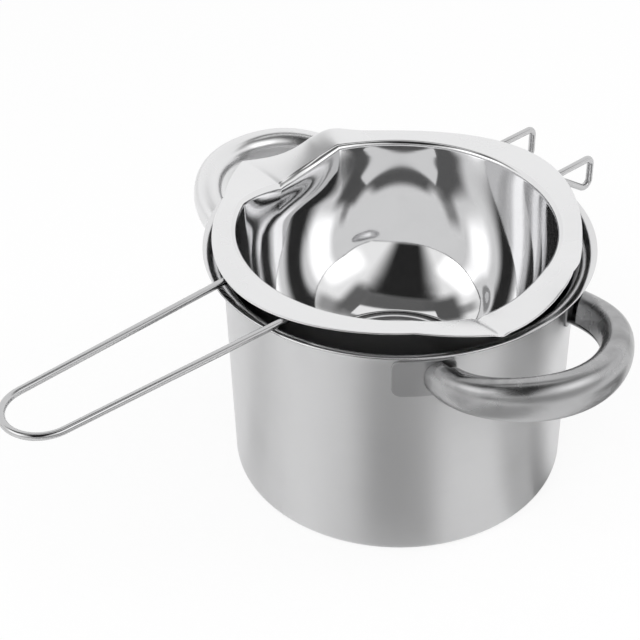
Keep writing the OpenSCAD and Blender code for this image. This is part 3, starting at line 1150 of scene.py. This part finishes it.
@dataclass
class BowlWires:
    """The bowl's long U-shaped handle and its two triangular hooks."""

    pot: PotBody
    bowl: MeltingBowl
    place: BowlPlace
    wire_d: float = 3.0
    handle_reach: float = 106.0
    handle_gap: float = 36.0
    end_gap: float = 28.8
    handle_offset: float = 0.8
    hook_gap: float = 34.0
    hook_reach: float = 20.0
    hook_drop: float = 16.5
    hook_close: float = -0.2
    hook_bend: float = 3.2
    weld_gap: float = 0.05
    weld_back: float = 1.6

    def _start(self, side: float) -> float:
        """How far from the bowl's axis a wire's end stands off the bowl's wall."""
        outside = self.bowl.inside_r + self.bowl.sheet
        return math.sqrt(outside**2 - side**2) + self.weld_back

    def _handle(self) -> None:
        """Models the handle, a wire bent to a U."""
        radius = self.wire_d / 2
        end_r = self.end_gap / 2
        leg_x = self._start(self.handle_gap / 2 + radius)
        end_x = self.pot.rim_r + self.handle_reach - radius - end_r
        run = (end_x - leg_x, self.handle_gap / 2)
        splay = math.acos(end_r / math.hypot(*run)) - math.atan2(run[0], run[1])
        far = end_x + end_r
        corner_y = end_r * math.tan((math.pi / 2 - splay) / 2)
        corners = [
            (-leg_x, self.handle_gap / 2), (-far, corner_y), (-far, -corner_y), (-leg_x, -self.handle_gap / 2)
        ]
        bend = end_r * BEND_FIT
        obj = WireRun("long_wire_handle", radius, corners, (bend, bend)).finish()
        offset = Matrix.Translation((0, self.handle_offset * MM, 0))
        obj.data.transform(self.place.matrix(self.place.wire_z) @ offset)
        # The wire steel is darkened: painted shade.
        dress(obj, Finish.WIRE)
        mount(obj, "bowl", "wire_handle")

    def _hooks(self) -> None:
        """Models one hook, a wire bent to a triangle, and copies it."""
        radius = self.wire_d / 2
        leg = self.pot.rim_r + self.hook_reach
        corners = [
            (self._start(self.hook_gap / 2 - radius), 0),
            (leg, 0),
            (leg, -self.hook_drop),
            (self.pot.rim_r + self.hook_close, -self.wire_d - self.weld_gap),
        ]
        near = WireRun("near_wire_hook", radius, corners, (self.hook_bend, self.hook_bend)).finish()
        near.data.transform(Matrix.Rotation(math.pi / 2, 4, "X"))
        # The wire steel is darkened: painted shade.
        dress(near, Finish.WIRE)
        lay = self.place.matrix(self.place.wire_z)
        side = self.hook_gap / 2 * MM
        far = twin(near, "far_wire_hook", lay @ Matrix.Translation((0, side, 0)))
        near.data.transform(lay @ Matrix.Translation((0, -side, 0)))
        mount(near, "bowl", "near_hook")
        mount(far, "bowl", "far_hook")

    def build(self) -> None:
        """Models the handle and the hooks."""
        self._handle()
        self._hooks()


# ---- studio


@dataclass(frozen=True)
class Card:
    """A soft-edged studio card that the steel reflects and the camera doesn't see."""

    name: str
    azimuth: float
    elevation: float
    width: float
    height: float
    grey: float
    edge: float = 0.15
    end_edge: float = 0.15
    taper: float = 1.0
    distance: float = 2.0

    def hang(self) -> None:
        """Puts the card up and gives it its grey."""
        deselect_objects()
        bpy.ops.mesh.primitive_plane_add(size=2)
        card = bpy.context.active_object
        card.name = "card_" + self.name
        self._place(card)
        card.visible_camera = card.visible_shadow = card.visible_diffuse = False
        card.data.materials.append(self._material())

    def _place(self, card: Object) -> None:
        """Hangs the card facing the set. Its width and height are angles.

        Args:
            card: The plane to place.
        """
        spread = [self.distance * math.tan(math.radians(a / 2)) for a in (self.width, self.height)]
        card.scale = (*spread, 1)
        a, e = math.radians(self.azimuth), math.radians(self.elevation)
        away = Vector((math.cos(a) * math.cos(e), math.sin(a) * math.cos(e), math.sin(e)))
        card.location = away * self.distance
        card.rotation_euler = (math.pi / 2 + e, 0, a - math.pi / 2)

    def _material(self) -> Material:
        """Builds the card's material.

        Returns:
            Grey that fades to nothing at the card's edges.
        """
        material, nodes = new_material("card_" + self.name)
        nodes.tree.nodes.remove(nodes.tree.nodes["Principled BSDF"])
        place = nodes.add("SeparateXYZ", {0: nodes.add("TexCoord").outputs["Object"]}).outputs
        half = nodes.ranged(place["Y"], (-1.0, 1.0), (self.taper, 1.0))
        side = self._fade(nodes, nodes.maths("DIVIDE", place["X"], half), self.edge)
        end = self._fade(nodes, place["Y"], self.end_edge)
        grey = nodes.add("Emission", {"Color": (1, 1, 1, 1), "Strength": self.grey})
        nodes.show(nodes.maths("MULTIPLY", side, end), nodes.add("BsdfTransparent"), grey)
        return material

    @staticmethod
    def _fade(nodes: Nodes, place: NodeSocket, edge: float) -> NodeSocket:
        """Cover that falls from 1 to 0 over a share of the card at both its edges, at places -1 and 1."""
        return nodes.ranged(nodes.maths("ABSOLUTE", place), (1.0, 1.0 - 2 * edge), steps="SMOOTHSTEP")


@dataclass(frozen=True)
class FloorCard(Card):
    """A card that lies on the floor, for the bands in the pot's wall. Its sizes are in metres."""

    lie: float = 0.0008

    def _place(self, card: Object) -> None:
        """Lays the card down, its middle at a distance from the pot's axis.

        Args:
            card: The plane to place.
        """
        card.scale = (self.width / 2, self.height / 2, 1)
        a = math.radians(self.azimuth)
        card.location = (self.distance * math.cos(a), self.distance * math.sin(a), self.lie)
        card.rotation_euler = (0, 0, math.radians(self.elevation) - math.pi / 2)


CARDS = (
    Card("behind_camera", -142, 49, 72, 56, 0.012, edge=0.33, end_edge=0.1, taper=0.42, distance=1.7),
    Card("high_front", -145, 68, 58, 30, 0.13, edge=0.45, end_edge=0.45, distance=1.9),
    Card("high_right", -60, 62, 44, 26, 0.13, edge=0.3, end_edge=0.35, distance=1.95),
    Card("high_left", 135, 60, 34, 32, 0.10, edge=0.3, end_edge=0.3, distance=1.95),
    Card("ceiling", 41, 88, 60, 50, 0.12, edge=0.2, end_edge=0.2, distance=2.2),
    Card("ceiling_strip", 41, 87, 88, 13, 1.0, edge=0.15, end_edge=0.2, distance=1.8),
    Card("gap_right", -37, 48, 24, 36, 0.34, edge=0.4, end_edge=0.35, distance=2.1),
    Card("gap_left", 130, 48, 13, 34, 0.36, edge=0.4, end_edge=0.35, distance=2.1),
    Card("box_right", -80, 33, 44, 29, 2.0, edge=0.35, end_edge=0.45, distance=2.3),
    Card("box_left", 165, 33, 44, 30, 1.95, edge=0.3, end_edge=0.35, distance=2.3),
    Card("room_low", -115, 8, 130, 24, 0.36, edge=0.12, end_edge=0.2, distance=2.4),
    FloorCard(
        "floor_front", -131, -131, 0.45, 0.32, 0.50, edge=0.35, end_edge=0.05, taper=0.012, distance=0.2
    ),
    FloorCard(
        "floor_right", -61, -51, 0.28, 0.28, 0.08, edge=0.35, end_edge=0.05, taper=0.02, distance=0.165
    ),
    FloorCard("floor_far", -110, -110, 3.6, 1.7, 0.42, edge=0.15, end_edge=0.1, taper=0.35, distance=1.25),
    FloorCard("floor_left", 149, 129, 0.08, 0.26, 0.6, edge=0.3, end_edge=0.3, distance=0.17),
    FloorCard("floor_glow", -171, 176, 0.07, 0.26, 0.9, edge=0.4, end_edge=0.1, distance=0.15),
)


@dataclass
class Studio:
    """Plain pale floor, soft lamps, white surroundings and the camera."""

    camera_at: tuple[float, float, float] = (-0.36018, -0.40231, 0.46731)
    camera_ahead: tuple[float, float, float] = (0.516775, 0.602931, -0.607797)
    focal_mm: float = 90.0
    sensor_mm: float = 36.0
    shift: tuple[float, float] = (-0.07958, 0.03458)
    floor_size: float = 6.0
    floor_white: float = 0.85
    room_light: float = 0.7
    lamps_aim: tuple[float, float, float] = (0, 0, 0.08)

    def build(self) -> None:
        """Sets up everything round the object."""
        self._camera()
        self._world()
        self._floor()
        self._lamps()
        bpy.context.scene.view_settings.view_transform = "Standard"

    def _camera(self) -> None:
        """Puts the camera where the photograph was taken from."""
        data = bpy.data.cameras.new("camera")
        data.lens = self.focal_mm
        data.sensor_width = self.sensor_mm
        data.shift_x, data.shift_y = self.shift
        data.clip_start, data.clip_end = 0.01, 50.0
        camera = bpy.data.objects.new("camera", data)
        self._aim(camera, self.camera_at, self.camera_ahead)
        bpy.context.scene.camera = camera

    def _world(self) -> None:
        """Surrounds the set with white that the camera and the steel see."""
        world = bpy.data.worlds.new("studio")
        bpy.context.scene.world = world
        world.use_nodes = True
        nodes = Nodes(world.node_tree)
        path = nodes.add("LightPath").outputs
        seen = path["Is Camera Ray"]
        for ray in ("Is Glossy Ray", "Is Transmission Ray"):
            seen = nodes.maths("MAXIMUM", seen, path[ray])
        level = nodes.ranged(seen, (0.0, 1.0), (self.room_light, 1.0))
        nodes.feed(nodes.tree.nodes["Background"], {"Color": (1, 1, 1, 1), "Strength": level})

    def _floor(self) -> None:
        """Lays a pale floor that shows white with a soft shadow."""
        deselect_objects()
        bpy.ops.mesh.primitive_plane_add(size=self.floor_size)
        floor = bpy.context.active_object
        floor.name = "floor"
        material, nodes = new_material("pale_floor")
        paper = nodes.tree.nodes["Principled BSDF"]
        nodes.feed(paper, {"Base Color": (0.9, 0.9, 0.9, 1), "Roughness": 0.9, "Specular IOR Level": 0.0})
        white = nodes.add("Emission", {"Color": (1, 1, 1, 1), "Strength": 1.0})
        seen = nodes.add("LightPath").outputs["Is Camera Ray"]
        nodes.show(nodes.maths("MULTIPLY", seen, self.floor_white), paper, white)
        floor.data.materials.append(material)

    def _lamps(self) -> None:
        """Hangs soft lamps over and beside the set."""
        self._lamp("key", (-0.9, -0.5, 1.3), 1.0, 12.0)
        self._lamp("fill", (1.1, -0.6, 0.9), 1.0, 6.0)
        for card in CARDS:
            card.hang()

    def _lamp(self, name: str, place: tuple[float, float, float], size: float, power: float) -> None:
        """Hangs one square lamp aimed at the set.

        Args:
            name: Name of the lamp.
            place: Where it hangs, in metres.
            size: Its side, in metres.
            power: Its power, in watts.
        """
        data = bpy.data.lights.new(name, "AREA")
        data.size, data.energy = size, power
        lamp = bpy.data.objects.new(name, data)
        lamp.visible_glossy = False
        self._aim(lamp, place, Vector(self.lamps_aim) - Vector(place))

    @staticmethod
    def _aim(obj: Object, place: Sequence[float], ahead: Sequence[float]) -> None:
        """Puts a camera or lamp in its place.

        Args:
            obj: The camera or lamp.
            place: Where it goes.
            ahead: Where it looks.
        """
        bpy.context.scene.collection.objects.link(obj)
        obj.location = place
        obj.rotation_mode = "QUATERNION"
        obj.rotation_quaternion = Vector(ahead).to_track_quat("-Z", "Y")


# ---- making


def main() -> None:
    """Builds the set piece by piece and the studio round it."""
    logging.basicConfig(level=logging.INFO, format="%(name)s: %(message)s")
    make_brushed_group()
    make_marks_and_blotches_group()
    pot = PotBody()
    pot.build()
    handle = LoopHandle(pot)
    handle.build()
    HandlePlates(pot, handle).build()
    place = BowlPlace()
    bowl = MeltingBowl(place)
    bowl.build()
    BowlWires(pot, bowl, place).build()
    Studio().build()


if __name__ == "__main__":
    main()
